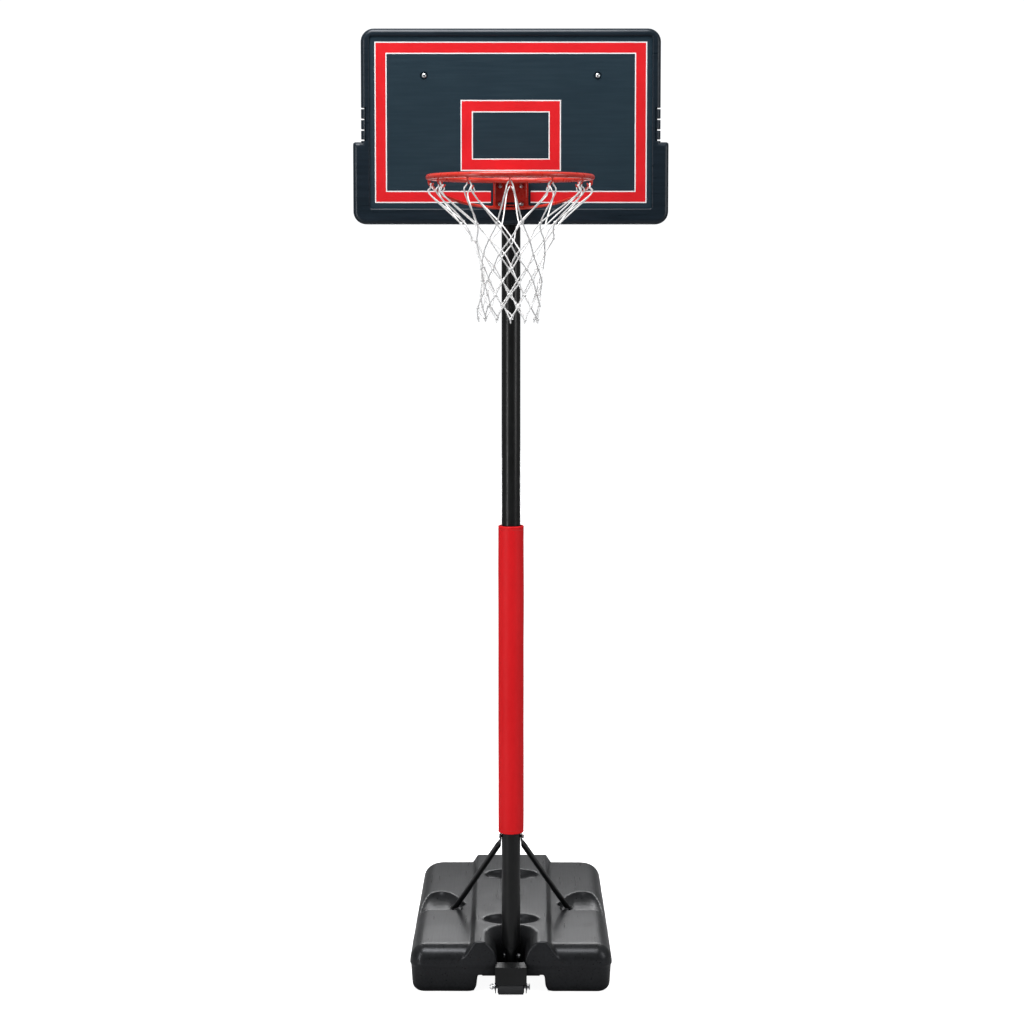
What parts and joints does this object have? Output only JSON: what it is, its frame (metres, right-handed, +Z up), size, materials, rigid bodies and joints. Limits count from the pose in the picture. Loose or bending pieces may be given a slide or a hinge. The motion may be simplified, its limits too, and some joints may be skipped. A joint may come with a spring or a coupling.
{
  "type": "portable basketball hoop",
  "caption": "Free-standing basketball hoop: board, ring and net on a telescoping padded pole, held by struts in a wheeled tank base filled with water.",
  "frame": {"origin": "bottom centre of the whole hoop's box, on the ground", "axes": "+Z up the pole, -Y out of the board's front towards the ring, +X to the board's right seen from the front"},
  "size_m": [0.968, 1.761, 3.05],
  "materials": {
    "tank_plastic": "satin black blow-moulded polyethylene with a fine vertical grain",
    "water": "water filling, inside the tank",
    "black_steel": "satin black powder coat",
    "board_plastic": "dark slate moulded polyethylene",
    "panel_plastic": "dark slate panel with red and white printed lines",
    "rim_paint": "glossy red-orange enamel",
    "pad_vinyl": "red vinyl skin over foam, seam at the back",
    "zinc": "bright zinc plate",
    "net_cord": "white twisted nylon cord",
    "roller_rubber": "dark grey roller, scuffed",
    "black_trim": "black moulded plastic"
  },
  "bodies": {
    "base": {"base_tank": "tank_plastic", "water_ballast": "water", "pole_shoe": "black_steel", "lower_pole": "black_steel", "middle_pole": "black_steel", "pole_rivet": "zinc", "strut_left": "black_steel", "strut_right": "black_steel", "pole_pad": "pad_vinyl", "slide_bushing": "black_trim", "clamp_boss": "black_steel", "wheel_axle": "zinc", "cotter_pin": "zinc", "axle_washer_1": "zinc", "axle_washer_2": "zinc", "strut_bolt": "zinc", "strut_nut": "zinc", "pole_foot_bolt": "zinc", "pole_foot_nut": "zinc", "strut_foot_bolt_1": "zinc", "strut_foot_bolt_2": "zinc", "shoe_bolt_1": "zinc", "shoe_bolt_2": "zinc", "shoe_bolt_3": "zinc", "shoe_bolt_4": "zinc"},
    "mast": {"upper_pole": "black_steel", "pole_cap": "black_trim", "board_frame": "board_plastic", "board_panel": "panel_plastic", "board_bracket": "black_steel", "upper_brace_left": "black_steel", "upper_brace_right": "black_steel", "rim_ring": "rim_paint", "rim_mount": "rim_paint", "rim_support_rod": "rim_paint", "net": "net_cord", "brace_bolt": "zinc", "brace_nut": "zinc", "rim_bolt_1": "zinc", "rim_bolt_2": "zinc", "rim_bolt_3": "zinc", "rim_bolt_4": "zinc", "rim_nut_1": "zinc", "rim_nut_2": "zinc", "rim_nut_3": "zinc", "rim_nut_4": "zinc", "board_bolt_1": "zinc", "board_bolt_2": "zinc", "board_nut_1": "zinc", "board_nut_2": "zinc", "bracket_bolt_1": "zinc", "bracket_bolt_2": "zinc", "bracket_nut_1": "zinc", "bracket_nut_2": "zinc"},
    "roller": {"roller_wheel": "roller_rubber"},
    "clamp": {"clamp_screw": "zinc", "clamp_knob": "black_trim"},
    "cap": {"fill_cap": "black_trim"}
  },
  "joints": [
    {"name": "height_slide", "type": "slide", "parent": "base", "child": "mast", "axis": [0, 0, 1], "range_m": [-0.3048, 0.4572]},
    {"name": "wheel_spin", "type": "hinge", "parent": "base", "child": "roller", "pos_m": [0, -0.173, 0.031], "axis": [1, 0, 0], "continuous": true},
    {"name": "clamp_turn", "type": "hinge", "parent": "base", "child": "clamp", "pos_m": [0, 0.007, 1.43], "axis": [0, 1, 0], "range_deg": [0, 360]},
    {"name": "cap_pull", "type": "slide", "parent": "base", "child": "cap", "axis": [0, 0, 1], "range_m": [0, 0.05]}
  ]
}
